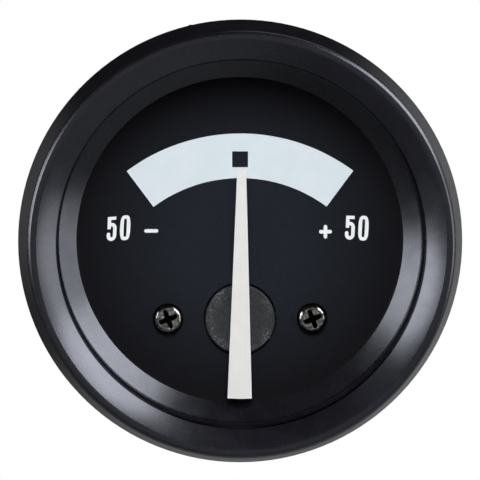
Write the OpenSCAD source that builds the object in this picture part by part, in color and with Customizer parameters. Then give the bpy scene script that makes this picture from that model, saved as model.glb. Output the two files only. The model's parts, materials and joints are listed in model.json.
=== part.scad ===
// Round panel ammeter, zero in the middle: a moving-iron movement in a drawn can, under a crimped bezel.
// Each piece is drawn looking at the dial: x to the right, y up and z towards the viewer, in millimetres.
// z = 0 is where the bezel's rear meets the panel. upright() then turns the dial to face -Y, with +Z up.

/* [Case] */
// Outside diameter of the can's barrel, which passes through the panel hole
case_d = 51.6; // [50:0.1:56]
// Depth of the can behind the panel
case_depth = 30; // [28:0.5:40]
// Sheet thickness of the can
case_wall = 0.8; // [0.6:0.1:1.2]
// Inside radius of the bend between the barrel and the can's back
case_bend_r = 0.8; // [0.4:0.1:1.6]
// Width of the flange round the can's mouth
case_flange_w = 3.2; // [2.8:0.1:4]

/* [Bezel] */
// Sheet thickness of the bezel
bezel_wall = 0.5; // [0.4:0.1:0.8]
// Gap between the can's flange and the bezel's skirt
bezel_fit = 0.5; // [0.3:0.1:1]
// How far the crimped lip reaches in behind the can's flange
crimp_w = 2; // [1.4:0.1:2.1]
// Outside radius of the bend at the bezel's rear
heel_r = 0.6; // [0.3:0.1:0.9]
// Distance of the bezel's crest from its outer edge
crest_inset = 2.2; // [1.8:0.05:2.5]
// Inside radius of the bend along the crest
crest_bend_r = 0.4; // [0.1:0.05:0.8]
// Slope of the bezel's inner cone against the dial
cone_slope = 35; // [30:1:50]
// Radius of the inner cone's slight swell
cone_swell_r = 20; // [12:1:40]
// Gap in the view between the bezel's window and the shading ring's mouth
window_gap = 0.15; // [0.05:0.05:0.5]
// Width of the flat lip that presses on the gasket
lip_w = 1.2; // [0.8:0.1:1.8]
// Height of the lip's edge round the window
lip_t = 0.6; // [0.4:0.1:1]
// Radius where the inner cone turns into the lip's edge
lip_round_r = 0.35; // [0.1:0.05:0.5]

/* [Window] */
// Thickness of the glass
lens_t = 2; // [1.5:0.1:3]
// How much smaller than the can's flange the glass is, all round
lens_fit = 0.8; // [0.6:0.1:1.2]
// Thickness of the gasket between the glass and the bezel's lip
gasket_t = 0.5; // [0.3:0.1:1]
// How far the gasket stays back from the window's edge
gasket_inset = 0.3; // [0.1:0.1:0.6]
// Sheet thickness of the shading ring's flange
ring_flange_t = 0.6; // [0.4:0.1:1]
// Sheet thickness of the shading ring's wall and cone
ring_wall = 0.4; // [0.3:0.1:0.8]
// Slope of the shading ring's cone against the dial
ring_slope = 36; // [30:1:42]
// Gap between the shading ring and the can's mouth
ring_fit = 0.1; // [0.05:0.05:0.4]

/* [Dial] */
// Diameter of the dial that shows inside the shading ring
dial_view_d = 44.4; // [43:0.1:46]
// Distance from the glass down to the dial
dial_depth = 3.7; // [3.4:0.1:6]
// Sheet thickness of the dial
dial_t = 0.6; // [0.4:0.1:1]
// Gap between the dial's edge and the can
dial_fit = 0.5; // [0.2:0.1:1]
// Distance of the pointer's pivot below the middle of the dial
pivot_drop = 10.7; // [9.5:0.1:12]
// Gap between the dial's hole and the boss of the movement
boss_hole_fit = 0.3; // [0.1:0.05:0.8]

/* [Scale] */
// How far the middle of the scale's arcs lies below the pivot
scale_drop = 0.5; // [0:0.05:0.8]
// Outer radius of the scale band
scale_outer_r = 25.75; // [24:0.05:27]
// Inner radius of the scale band
scale_inner_r = 19.7; // [18:0.05:21]
// Angle from zero to each end of the scale band
scale_angle = 36.6; // [30:0.1:40]
// Side of the square mark at zero
zero_mark_w = 2.15; // [1.5:0.05:2.6]
// Radius of the zero mark's middle in the scale band
zero_mark_r = 22.25; // [21.7:0.05:23]
// Thickness of the printed layer
print_t = 0.05; // [0.03:0.01:0.1]

/* [Pointer] */
// How far the pointer's tip reaches over the scale band
tip_overlap = 1.25; // [0.5:0.05:2]
// Gap between the pointer's tail and the foot of the shading ring
tail_gap = 0.8; // [0.6:0.1:2]
// Width of the pointer at its tip
tip_w = 1.2; // [0.6:0.05:1.6]
// Width of the pointer at its tail
tail_w = 3.3; // [3:0.1:4]
// Sheet thickness of the pointer
pointer_t = 0.3; // [0.2:0.05:0.5]
// Slope of each half of the folded pointer
fold_slope = 18; // [8:1:24]
// Angle by which the pointer stands past zero, clockwise
pointer_lean = 0.5; // [0:0.1:2]
// Gap between the pointer's edges and the boss behind it
pointer_gap = 0.4; // [0.3:0.05:0.8]
// Swing of the pointer from zero to each stop
pointer_swing = 40; // [38:1:44]

/* [Moving iron] */
// Diameter of the arbor
arbor_d = 1; // [0.8:0.05:1.2]
// Running clearance round the arbor in its bearings
arbor_clear = 0.04; // [0.02:0.01:0.08]
// Play along the arbor at each end
end_play = 0.15; // [0.1:0.05:0.3]
// Diameter of the hub under the pointer
hub_d = 2.4; // [2.2:0.1:2.6]
// Length of the soft-iron armature
armature_l = 9.6; // [8.5:0.1:10.5]
// Width of the armature
armature_w = 2.6; // [2:0.1:3]
// Thickness of the armature
armature_t = 1.2; // [0.8:0.1:1.6]
// Distance of the armature behind the frame's plate
armature_drop = 3; // [2:0.1:4]

/* [Movement frame] */
// Diameter of the boss that shows through the dial
boss_d = 9.4; // [9:0.1:10.4]
// Height of the boss above the dial
boss_proud = 0.7; // [0.4:0.1:1]
// Chamfer round the boss's front
boss_chamfer = 0.2; // [0.1:0.05:0.3]
// Rim of the frame's plate round the boss
plate_rim = 0.4; // [0.2:0.1:1]
// Thickness of the frame's plate
plate_t = 2; // [1.5:0.1:3]
// Diameter of the two pillars that carry the dial
pillar_d = 4.8; // [4:0.1:5.4]
// Height of the pillars
pillar_h = 2; // [1.5:0.1:3]
// Height of the frame's legs over the conductor bar
leg_h = 8.7; // [7.5:0.1:10]
// Width of each leg, along the bar
leg_w = 4; // [3.4:0.1:4.4]
// Depth of each leg, across the bar
leg_d = 8; // [6:0.1:8.6]
// Gap between the armature's sweep and the legs
leg_gap = 0.8; // [0.4:0.1:1.2]
// Outside diameter of the bearing bushes
bearing_d = 2.4; // [2.2:0.1:2.8]
// Diameter of the pegs that stop the armature
peg_d = 1.2; // [0.8:0.1:1.4]
// Distance of the pegs from the pivot
peg_r = 3.4; // [3.3:0.1:4]
// Gap between armature and peg at the end of the swing
peg_gap = 0.1; // [0.05:0.05:0.2]

/* [Magnet and bar] */
// Width of the conductor bar
bar_w = 9; // [8.8:0.1:10]
// Thickness of the conductor bar
bar_t = 1.5; // [1.2:0.1:2]
// Thickness of the magnet
magnet_t = 4; // [3:0.1:5]
// Width of the magnet and its clip
magnet_w = 6; // [5:0.1:7]
// Sheet thickness of the magnet's clip
clip_t = 0.5; // [0.3:0.1:0.8]
// Flange diameter of the rear bearing
rear_flange_d = 4.6; // [4:0.1:5]
// Flange thickness of the rear bearing
rear_flange_t = 0.8; // [0.5:0.1:1]

/* [Screws] */
// Thread diameter of the small screws
screw_d = 2; // [1.6:0.1:2.2]
// Head diameter of the small screws
screw_head_d = 4.2; // [3.6:0.1:4.4]
// Head height of the small screws
screw_head_h = 1.3; // [1:0.1:1.5]
// Height of a screw head's straight rim
screw_rim_h = 0.45; // [0.3:0.05:0.6]
// Distance between the two dial screws
dial_screw_spacing = 19.6; // [19:0.1:20.5]
// Height of the dial screws above the pivot
dial_screw_rise = 0.1; // [0:0.05:1]
// Length of the dial screws under the head
dial_screw_l = 4; // [3:0.1:4.4]
// Length of the frame screws under the head
frame_screw_l = 6; // [4:0.1:8]
// Width of the cross recess in a screw head
recess_w = 0.55; // [0.4:0.05:0.7]
// Span of the cross recess
recess_span = 2.3; // [1.8:0.1:2.6]
// Depth of the cross recess
recess_depth = 0.7; // [0.4:0.1:0.9]

/* [Terminals] */
// Distance between the two terminal posts
terminal_spacing = 28; // [27.4:0.1:30]
// Thread diameter of the terminal posts
post_thread_d = 5; // [4:0.1:5.4]
// How far the plain lead-in at a post's end lies below its thread
post_tip_step = 0.2; // [0.15:0.05:0.6]
// Length of the lead-in
post_tip_l = 4; // [3:0.1:6]
// Chamfer at the lead-in's end
post_chamfer = 0.4; // [0.2:0.1:0.8]
// Thread left free between the outer nut and the lead-in
post_spare_l = 1.5; // [0.5:0.1:4]
// Diameter of the shank between the bar and the collar
post_shank_d = 6; // [5.5:0.1:7]
// Diameter of the collar that bears on the insulating plate
post_collar_d = 9.2; // [8.6:0.1:10]
// Thickness of the collar
post_collar_t = 1.5; // [1:0.1:2]
// Diameter of the spigot riveted into the bar
post_spigot_d = 4; // [3.4:0.1:4.6]
// Diameter of the riveted head
rivet_d = 5.6; // [5:0.1:6]
// Height of the riveted head
rivet_h = 0.8; // [0.5:0.1:1]
// Thickness of the insulating plate inside the can
liner_t = 0.8; // [0.5:0.1:1.2]
// Rim of the insulating plate round each post's collar
liner_rim = 0.7; // [0.3:0.1:1.2]
// Flange diameter of the insulating shoulder washers
insulator_d = 11; // [10.4:0.1:12]
// Flange thickness of the insulating shoulder washers
insulator_t = 1.5; // [1:0.1:2.5]
// Neck diameter of the insulating shoulder washers
neck_d = 7; // [6.4:0.1:7.6]
// How far the neck stays back from the post's collar
neck_back = 0.2; // [0.1:0.05:0.4]
// Gap round the neck in the can's hole
neck_fit = 0.1; // [0.05:0.05:0.3]
// Diameter of the plain washers
washer_d = 10; // [9:0.1:10.4]
// Thickness of the plain washers
washer_t = 1; // [0.6:0.1:1.6]
// Width of the hexagon nuts across flats
nut_w = 8; // [7.4:0.1:9]
// Height of the hexagon nuts
nut_h = 4; // [3:0.1:5]
// Diameter of the spring washers under the outer nuts
spring_washer_d = 8.8; // [8:0.1:9.4]
// Thickness of all spring washers
spring_washer_t = 1.2; // [0.8:0.1:1.6]

/* [Clamp] */
// Distance between the two clamp studs
stud_spacing = 31; // [28:0.5:34]
// Thread diameter of the clamp studs
stud_d = 4; // [3.5:0.1:4.5]
// Length of the clamp studs behind the can
stud_l = 18; // [16:0.5:24]
// Chamfer at a clamp stud's end
stud_chamfer = 0.4; // [0.2:0.1:0.8]
// Diameter of the weld flange at a clamp stud's foot
weld_d = 6.5; // [5.5:0.1:8]
// Thickness of the weld flange
weld_t = 0.6; // [0.4:0.1:0.9]
// Width of the bracket's strip
strip_w = 13; // [11:0.5:15]
// Thickness of the bracket's strip
strip_t = 1.5; // [1.2:0.1:2]
// Inside radius of the bracket's bends
strip_bend_r = 2; // [1:0.1:3]
// Gap between the can's barrel and the bracket's legs
bracket_gap = 1.4; // [1.2:0.1:2]
// Room for the panel between the bezel and the bracket's feet
panel_room = 5; // [4.5:0.1:8]
// Gap between the can's back and the bracket's bridge
bridge_gap = 5.4; // [5:0.1:7]
// Chamfer at the corners of the bracket's feet
foot_chamfer = 2; // [0.5:0.1:3]
// Gap round a clamp stud in the bracket's hole
stud_hole_fit = 0.25; // [0.1:0.05:0.6]
// Diameter of the spring washers under the thumb nuts
clamp_washer_d = 7.6; // [7:0.1:8.4]
// Diameter of the thumb nuts over their knurl
thumb_d = 9.4; // [8.4:0.1:11]
// Height of a thumb nut's knurled part
thumb_h = 3.5; // [2.5:0.1:4.5]
// Diameter of a thumb nut's plain collar
thumb_collar_d = 7; // [6.6:0.1:8]
// Height of a thumb nut's plain collar
thumb_collar_h = 1.5; // [1:0.1:2]
// Number of ridges round a thumb nut
knurl_count = 24; // [16:1:36]
// Depth of the knurl
knurl_depth = 0.35; // [0.2:0.05:0.5]
// Running clearance round a clamp stud's thread in its thumb nut
thread_clear = 0.04; // [0.02:0.01:0.08]

/* [Hidden] */

$fn = 72;
arc_steps = 8;
// How far a cutting shape runs past the face that it opens
cut = 1;
// Gap between pieces that sit tightly in or on one another
snug = 0.02;
// Gap between a bolt or stud and the washers and nuts on it
bolt_fit = 0.1;

case_r = case_d / 2;
mouth_r = case_r - case_wall;
flange_r = case_r + case_flange_w;
bezel_r = flange_r + bezel_fit + bezel_wall;
crimp_r = flange_r - crimp_w;
lens_r = flange_r - lens_fit;
view_r = dial_view_d / 2;
dial_r = mouth_r - dial_fit;
boss_r = boss_d / 2;
arbor_r = arbor_d / 2;

// Levels, from the panel's face to the glass and back to the dial
flange_back_z = bezel_wall;
flange_front_z = flange_back_z + case_wall;
lens_back_z = flange_front_z + ring_flange_t;
lens_front_z = lens_back_z + lens_t;
lip_back_z = lens_front_z + gasket_t;
dial_front_z = lens_back_z - dial_depth;
dial_back_z = dial_front_z - dial_t;

// Levels of the movement
boss_front_z = dial_front_z + boss_proud;
plate_front_z = dial_back_z - pillar_h;
plate_back_z = plate_front_z - plate_t;
bar_front_z = plate_back_z - leg_h;
bar_back_z = bar_front_z - bar_t;
clip_ear_z = bar_back_z - clip_t;
armature_back_z = plate_back_z - armature_drop - armature_t;

// Levels of the can's back and of what is stacked on the posts behind it
back_z = -case_depth;
floor_z = back_z + case_wall;
liner_front_z = floor_z + liner_t;
insulator_back_z = back_z - insulator_t;
washer_back_z = insulator_back_z - washer_t;
lock_nut_back_z = washer_back_z - nut_h;
spring_back_z = lock_nut_back_z - spring_washer_t;
nut_back_z = spring_back_z - nut_h;
tip_front_z = nut_back_z - post_spare_l;
tip_back_z = tip_front_z - post_tip_l;

// Levels of the clamp
feet_z = -panel_room;
bridge_front_z = back_z - bridge_gap;
bridge_back_z = bridge_front_z - strip_t;
thumb_front_z = bridge_back_z - spring_washer_t;
thumb_back_z = thumb_front_z - thumb_collar_h - thumb_h;
stud_back_z = back_z - stud_l;

// Shading ring: a wall in the can's mouth, and the level where its cone starts in towards the dial
ring_neck_r = mouth_r - ring_fit - ring_wall;
ring_rise = tan(ring_slope);
ring_cone_z = dial_front_z + ring_rise * (ring_neck_r - view_r);
window_r = ring_neck_r + window_gap;

// Pointer: the underside of its fold, and its reach from the pivot
fold_rise = tan(fold_slope);
ridge_z = boss_front_z + pointer_gap + fold_rise * tail_w / 2;
pointer_reach = scale_inner_r - scale_drop + tip_overlap;
pointer_tail = view_r - pivot_drop - tail_gap;

// Movement: places along the bar
leg_x = armature_l / 2 + leg_gap + leg_w / 2;
magnet_x = leg_x - screw_head_d / 2 - clip_t - bolt_fit;
terminal_x = terminal_spacing / 2;
stud_y = stud_spacing / 2;

// Points of an arc about a centre, from one angle to another, without so many of them at each end
function arc(centre, r, from, to, skip = 0) = [
    for (i = [skip : arc_steps - skip])
        let (a = from + (to - from) * i / arc_steps)
        centre + r * [cos(a), sin(a)]
];

// Turns a piece drawn looking at the dial into the standing frame
module upright() {
    rotate([90, 0, 0]) children();
}

module at_pivot(z = 0) {
    translate([0, -pivot_drop, z]) children();
}

// A copy to the left and one to the right of the pivot
module each_side(x, rise = 0) {
    for (side = [-1, 1])
        translate([side * x, rise - pivot_drop, 0]) children();
}

// A copy above and one below the middle
module each_stud() {
    for (side = [-1, 1])
        translate([0, side * stud_y, 0]) children();
}

module disc(back_z, front_z, r) {
    translate([0, 0, back_z]) cylinder(h = front_z - back_z, r = r);
}

module ring(back_z, front_z, r, bore_r) {
    difference() {
        disc(back_z, front_z, r);
        disc(back_z - cut, front_z + cut, bore_r);
    }
}

// A flat shape with round ends, along x
module stadium(half_l, r) {
    square([2 * half_l, 2 * r], center = true);
    for (side = [-1, 1])
        translate([side * half_l, 0]) circle(r);
}

// A washer of sprung wire, cut through at one place
module split_washer(back_z, front_z, r, bore_r) {
    gap_w = (r - bore_r) / 4;
    difference() {
        ring(back_z, front_z, r, bore_r);
        translate([0, -gap_w / 2, back_z - cut])
            rotate([0, 0, 12]) cube([r + cut, gap_w, front_z - back_z + 2 * cut]);
    }
}

// A hexagon nut with its corners turned down on both faces
module hex_nut(back_z, front_z) {
    corner_r = nut_w / sqrt(3);
    turned_r = nut_w / 2;
    turned_h = (corner_r - turned_r) * tan(30);
    difference() {
        intersection() {
            translate([0, 0, back_z]) rotate([0, 0, 30])
                cylinder(h = front_z - back_z, r = corner_r, $fn = 6);
            rotate_extrude() polygon([
                [0, back_z],
                [turned_r, back_z],
                [corner_r, back_z + turned_h],
                [corner_r, front_z - turned_h],
                [turned_r, front_z],
                [0, front_z]
            ]);
        }
        disc(back_z - cut, front_z + cut, post_thread_d / 2 + bolt_fit);
    }
}

// A pan head above z = 0 and a plain shank below it, with a cross recess
module pan_screw(shank_l) {
    head_r = screw_head_d / 2;
    dome_h = screw_head_h - screw_rim_h;
    dome_r = (head_r * head_r + dome_h * dome_h) / (2 * dome_h);
    difference() {
        union() {
            intersection() {
                cylinder(h = screw_head_h, r = head_r);
                translate([0, 0, screw_head_h - dome_r]) sphere(dome_r);
            }
            disc(-shank_l, screw_rim_h, screw_d / 2);
        }
        for (turn = [0, 90])
            rotate([0, 0, turn])
                translate([-recess_span / 2, -recess_w / 2, screw_head_h - recess_depth])
                    cube([recess_span, recess_w, recess_depth + cut]);
    }
}

// Pressed ring: crimped lip behind the flange, skirt, crest, inner cone and the lip round the window
module bezel() {
    crest_r = bezel_wall + crest_bend_r;
    // Middle of the rounding at the lip's edge, and of the bend along the crest above it
    lip = [window_r + lip_round_r, lip_back_z + lip_t];
    crest_x = bezel_r - crest_inset;
    crest = [
        crest_x,
        lip[1] + tan(cone_slope) * (crest_x - lip[0]) + (lip_round_r - crest_r) / cos(cone_slope)
    ];
    heel = [bezel_r - heel_r, heel_r];
    // Direction of the skirt's outward face, which touches both bends
    rise = crest - heel;
    skirt_a = atan2(rise[1], rise[0]) - acos((heel_r - crest_r) / norm(rise));
    // Middle of the cone's swell, whose arc touches the lip's rounding and the crest
    span = crest - lip;
    lip_reach = cone_swell_r - lip_round_r;
    crest_reach = cone_swell_r - crest_r;
    along = (lip_reach * lip_reach - crest_reach * crest_reach + span * span) / (2 * norm(span));
    aside = sqrt(lip_reach * lip_reach - along * along);
    swell = lip + (along * span + aside * [span[1], -span[0]]) / norm(span);
    lip_a = atan2(lip[1] - swell[1], lip[0] - swell[0]);
    crest_a = atan2(crest[1] - swell[1], crest[0] - swell[0]);
    // Where the skirt's inside meets the crimped lip, and the cone's inside meets the flat lip
    skirt_in = crest * [cos(skirt_a), sin(skirt_a)] + crest_bend_r;
    heel_in_x = (skirt_in - sin(skirt_a) * bezel_wall) / cos(skirt_a);
    lip_end_x = window_r + lip_w;
    swell_in_r = cone_swell_r - bezel_wall;
    lip_end_a = acos((lip_end_x - swell[0]) / swell_in_r);
    lip_end_z = swell[1] + swell_in_r * sin(lip_end_a);
    color("#17181a") rotate_extrude() polygon(concat(
        [[crimp_r, 0]],
        arc(heel, heel_r, -90, skirt_a),
        arc(crest, crest_r, skirt_a, crest_a),
        arc(swell, cone_swell_r, crest_a, lip_a, 1),
        arc(lip, lip_round_r, lip_a, 180),
        [[window_r, lip_back_z], [lip_end_x, lip_back_z], [lip_end_x, lip_end_z]],
        arc(crest, crest_bend_r, crest_a, skirt_a),
        [[heel_in_x, bezel_wall], [crimp_r, bezel_wall]]
    ));
}

module lens() {
    color("#dfe8ea", 0.25) disc(lens_back_z, lens_front_z, lens_r);
}

module lens_gasket() {
    color("#0c0c0d") ring(lens_front_z, lip_back_z, lens_r, window_r + gasket_inset);
}

// Sheet ring hung by its flange on the can's flange: a wall behind the glass, then a cone in to the dial
module shading_ring() {
    outer_r = ring_neck_r + ring_wall;
    // The cone's thickness, measured upright
    cone_t = ring_wall / cos(ring_slope);
    color("#1d1e20") rotate_extrude() polygon([
        [view_r, dial_front_z],
        [view_r + cone_t / ring_rise, dial_front_z],
        [outer_r, ring_cone_z + ring_rise * ring_wall - cone_t],
        [outer_r, flange_front_z],
        [lens_r, flange_front_z],
        [lens_r, lens_back_z],
        [ring_neck_r, lens_back_z],
        [ring_neck_r, ring_cone_z]
    ]);
}

// Drawn can with a flange at its mouth and two holes for the insulated terminals
module case_can() {
    bend = [mouth_r - case_bend_r, floor_z + case_bend_r];
    color("#26282b") difference() {
        rotate_extrude() polygon(concat(
            [[0, back_z]],
            arc(bend, case_bend_r + case_wall, -90, 0),
            [
                [case_r, flange_back_z],
                [flange_r, flange_back_z],
                [flange_r, flange_front_z],
                [mouth_r, flange_front_z]
            ],
            arc(bend, case_bend_r, 0, -90),
            [[0, floor_z]]
        ));
        each_side(terminal_x) disc(back_z - cut, floor_z + cut, neck_d / 2 + neck_fit);
    }
}

// Threaded studs, welded by their flanges to the can's back
module clamp_studs() {
    stud_r = stud_d / 2;
    color("#b9bcc0") each_stud() rotate_extrude() polygon([
        [0, back_z],
        [weld_d / 2, back_z],
        [weld_d / 2, back_z - weld_t],
        [stud_r, back_z - weld_t],
        [stud_r, stud_back_z + stud_chamfer],
        [stud_r - stud_chamfer, stud_back_z],
        [0, stud_back_z]
    ]);
}

module dial_plate() {
    color("#1c1f23") difference() {
        disc(dial_back_z, dial_front_z, dial_r);
        at_pivot() disc(dial_back_z - cut, dial_front_z + cut, boss_r + boss_hole_fit);
        each_side(dial_screw_spacing / 2, dial_screw_rise)
            disc(dial_back_z - cut, dial_front_z + cut, screw_d / 2 + bolt_fit);
    }
}

// White printed arc above the pivot, open at the zero mark
module scale_band() {
    wedge = 2 * scale_outer_r * [sin(scale_angle), cos(scale_angle)];
    color("#dbe6ec") at_pivot(dial_front_z) translate([0, -scale_drop, 0])
        linear_extrude(print_t) difference() {
            intersection() {
                difference() {
                    circle(scale_outer_r);
                    circle(scale_inner_r);
                }
                polygon([[0, 0], wedge, [-wedge[0], wedge[1]]]);
            }
            translate([0, zero_mark_r]) square(zero_mark_w, center = true);
        }
}

module dial_screws() {
    color("#101011") each_side(dial_screw_spacing / 2, dial_screw_rise)
        translate([0, 0, dial_front_z]) pan_screw(dial_screw_l);
}

// Moulded block: boss and dial pillars in front of its plate, legs and stop pegs behind it
module movement_frame() {
    plate_r = boss_r + plate_rim;
    // A peg meets the armature's edge when the pointer reaches the end of its swing
    peg_a = pointer_swing + asin((armature_w / 2 + peg_d / 2 + peg_gap) / peg_r);
    color("#232427") difference() {
        union() {
            at_pivot(plate_back_z) linear_extrude(plate_t) stadium(dial_screw_spacing / 2, plate_r);
            at_pivot() rotate_extrude() polygon([
                [0, plate_back_z],
                [boss_r, plate_back_z],
                [boss_r, boss_front_z - boss_chamfer],
                [boss_r - boss_chamfer, boss_front_z],
                [0, boss_front_z]
            ]);
            each_side(dial_screw_spacing / 2, dial_screw_rise) disc(plate_back_z, dial_back_z, pillar_d / 2);
            each_side(leg_x) translate([-leg_w / 2, -leg_d / 2, bar_front_z])
                cube([leg_w, leg_d, leg_h + plate_t / 2]);
            at_pivot() for (side = [-1, 1])
                translate(peg_r * [cos(peg_a), side * sin(peg_a), 0])
                    disc(armature_back_z - peg_d / 2, plate_front_z - plate_t / 2, peg_d / 2);
        }
        at_pivot() disc(plate_back_z - cut, boss_front_z + cut, bearing_d / 2 + snug);
        each_side(dial_screw_spacing / 2, dial_screw_rise)
            disc(dial_front_z - dial_screw_l - snug, dial_front_z + cut, screw_d / 2 + snug);
        each_side(leg_x) disc(bar_front_z - cut, clip_ear_z + frame_screw_l + snug, screw_d / 2 + snug);
    }
}

module front_bearing() {
    color("#b08d3c") at_pivot() ring(plate_back_z, boss_front_z, bearing_d / 2, arbor_r + arbor_clear);
}

// Flanged bush in the bar, with a closed end that the arbor turns on
module rear_bearing() {
    color("#b08d3c") at_pivot() difference() {
        union() {
            disc(bar_back_z, bar_front_z, bearing_d / 2);
            disc(bar_front_z, bar_front_z + rear_flange_t, rear_flange_d / 2);
        }
        disc(bar_back_z + bar_t / 3, bar_front_z + rear_flange_t + cut, arbor_r + arbor_clear);
    }
}

module frame_screws() {
    color("#b9bcc0") each_side(leg_x) translate([0, 0, clip_ear_z]) rotate([180, 0, 0])
        pan_screw(frame_screw_l);
}

// Brass bar that carries the current past the armature, from post to post
module conductor_bar() {
    color("#b8923f") difference() {
        at_pivot(bar_back_z) linear_extrude(bar_t) stadium(terminal_x, bar_w / 2);
        at_pivot() disc(bar_back_z - cut, bar_front_z + cut, bearing_d / 2 + snug);
        each_side(leg_x) disc(bar_back_z - cut, bar_front_z + cut, screw_d / 2 + bolt_fit);
        each_side(terminal_x) disc(bar_back_z - cut, bar_front_z + cut, post_spigot_d / 2 + snug);
    }
}

module magnet() {
    color("#3a3d42") at_pivot(bar_back_z - magnet_t)
        translate([-magnet_x, -magnet_w / 2, 0]) cube([2 * magnet_x, magnet_w, magnet_t]);
}

// Sheet strip over the magnet, with an ear under each frame screw
module magnet_clip() {
    ear_x = leg_x + screw_head_d / 2;
    wall_x = magnet_x + clip_t;
    top_z = -magnet_t - clip_t;
    color("#c2a04a") difference() {
        at_pivot(bar_back_z) translate([0, magnet_w / 2, 0]) rotate([90, 0, 0]) linear_extrude(magnet_w)
            polygon([
                [-ear_x, 0],
                [-magnet_x, 0],
                [-magnet_x, -magnet_t],
                [magnet_x, -magnet_t],
                [magnet_x, 0],
                [ear_x, 0],
                [ear_x, -clip_t],
                [wall_x, -clip_t],
                [wall_x, top_z],
                [-wall_x, top_z],
                [-wall_x, -clip_t],
                [-ear_x, -clip_t]
            ]);
        each_side(leg_x) disc(clip_ear_z - cut, bar_back_z + cut, screw_d / 2 + bolt_fit);
    }
}

// Turned posts: riveted head, spigot, shank, collar, thread and a plain lead-in
module terminal_posts() {
    tip_r = post_thread_d / 2 - post_tip_step;
    color("#b8923f") each_side(terminal_x) rotate_extrude() polygon([
        [0, bar_front_z + rivet_h],
        [rivet_d / 2, bar_front_z + rivet_h],
        [rivet_d / 2, bar_front_z],
        [post_spigot_d / 2, bar_front_z],
        [post_spigot_d / 2, bar_back_z],
        [post_shank_d / 2, bar_back_z],
        [post_shank_d / 2, liner_front_z + post_collar_t],
        [post_collar_d / 2, liner_front_z + post_collar_t],
        [post_collar_d / 2, liner_front_z],
        [post_thread_d / 2, liner_front_z],
        [post_thread_d / 2, tip_front_z],
        [tip_r, tip_front_z],
        [tip_r, tip_back_z + post_chamfer],
        [tip_r - post_chamfer, tip_back_z],
        [0, tip_back_z]
    ]);
}

// Fibre plate between the posts' collars and the can
module inner_insulator() {
    color("#5c2f22") difference() {
        at_pivot(floor_z) linear_extrude(liner_t) stadium(terminal_x, post_collar_d / 2 + liner_rim);
        each_side(terminal_x) disc(floor_z - cut, liner_front_z + cut, neck_d / 2 + neck_fit);
    }
}

// Shoulder washers: a flange behind the can and a neck through its hole
module terminal_insulators() {
    bore_r = post_thread_d / 2 + bolt_fit;
    color("#20211f") each_side(terminal_x) {
        difference() {
            union() {
                disc(insulator_back_z, back_z, insulator_d / 2);
                disc(insulator_back_z, liner_front_z - neck_back, neck_d / 2);
            }
            disc(insulator_back_z - cut, liner_front_z + cut, bore_r);
        }
    }
}

module terminal_washers() {
    color("#b9bcc0") each_side(terminal_x)
        ring(washer_back_z, insulator_back_z, washer_d / 2, post_thread_d / 2 + bolt_fit);
}

module terminal_lock_nuts() {
    color("#b8923f") each_side(terminal_x) hex_nut(lock_nut_back_z, washer_back_z);
}

module spring_washers() {
    color("#9a9da1") each_side(terminal_x)
        split_washer(spring_back_z, lock_nut_back_z, spring_washer_d / 2, post_thread_d / 2 + bolt_fit);
}

module terminal_nuts() {
    color("#b8923f") each_side(terminal_x) hex_nut(nut_back_z, spring_back_z);
}

// White sheet, folded along its middle, narrowing from the tail to the tip
module pointer() {
    half_w = tail_w / 2;
    sheet_w = half_w + cut;
    sheet_drop = fold_rise * sheet_w;
    blank_back_z = ridge_z - sheet_drop - cut;
    color("#e9edee") at_pivot() rotate([0, 0, -pointer_lean]) intersection() {
        translate([0, 0, blank_back_z]) linear_extrude(ridge_z + pointer_t + cut - blank_back_z) polygon([
            [-half_w, -pointer_tail],
            [half_w, -pointer_tail],
            [tip_w / 2, pointer_reach],
            [-tip_w / 2, pointer_reach]
        ]);
        translate([0, pointer_reach + cut, ridge_z]) rotate([90, 0, 0])
            linear_extrude(pointer_reach + pointer_tail + 2 * cut) polygon([
                [0, 0],
                [sheet_w, -sheet_drop],
                [sheet_w, pointer_t - sheet_drop],
                [0, pointer_t],
                [-sheet_w, pointer_t - sheet_drop],
                [-sheet_w, -sheet_drop]
            ]);
    }
}

// Collar pressed on the arbor, its front shaped to the inside of the pointer's fold
module pointer_hub() {
    hub_r = hub_d / 2;
    hub_back_z = boss_front_z + end_play;
    roof_w = hub_r + cut;
    roof_z = ridge_z - fold_rise * roof_w;
    color("#c2a04a") at_pivot() rotate([0, 0, -pointer_lean]) difference() {
        intersection() {
            disc(hub_back_z, ridge_z + cut, hub_r);
            translate([0, roof_w, 0]) rotate([90, 0, 0]) linear_extrude(2 * roof_w) polygon([
                [0, ridge_z],
                [roof_w, roof_z],
                [roof_w, hub_back_z - cut],
                [-roof_w, hub_back_z - cut],
                [-roof_w, roof_z]
            ]);
        }
        disc(hub_back_z - cut, ridge_z + 2 * cut, arbor_r + snug);
    }
}

module arbor() {
    color("#8d9196") at_pivot()
        disc(bar_back_z + bar_t / 3 + end_play, ridge_z - fold_rise * arbor_r, arbor_r);
}

// Soft-iron vane that the current in the bar turns against the magnet
module armature() {
    end_r = armature_w / 2;
    color("#6f7378") at_pivot(armature_back_z) linear_extrude(armature_t) difference() {
        stadium(armature_l / 2 - end_r, end_r);
        circle(arbor_r + snug);
    }
}

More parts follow.
